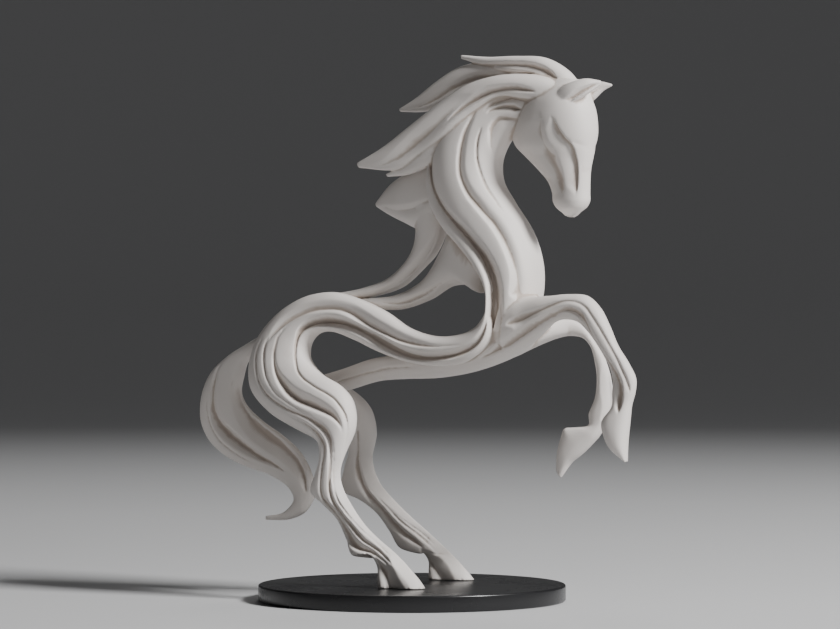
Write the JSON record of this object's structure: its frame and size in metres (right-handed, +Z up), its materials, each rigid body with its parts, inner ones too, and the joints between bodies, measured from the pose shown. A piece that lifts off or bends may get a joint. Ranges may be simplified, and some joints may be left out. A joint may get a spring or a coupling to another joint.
{
  "type": "rearing horse figure on a round base",
  "caption": "Rearing horse made of flowing ribbons with pierced flanks, standing on its hind hooves on a thin round disc.",
  "frame": {"origin": "centre of the base's flat underside", "axes": "+Z up, +X the way the horse faces, -Y its near side"},
  "size_m": [0.1935, 0.123, 0.2175],
  "materials": {
    "white_print": "matte, with the fine lines of a layered print",
    "black_base": "satin gloss"
  },
  "bodies": {
    "root": {"horse": "white_print", "base": "black_base"}
  },
  "joints": []
}
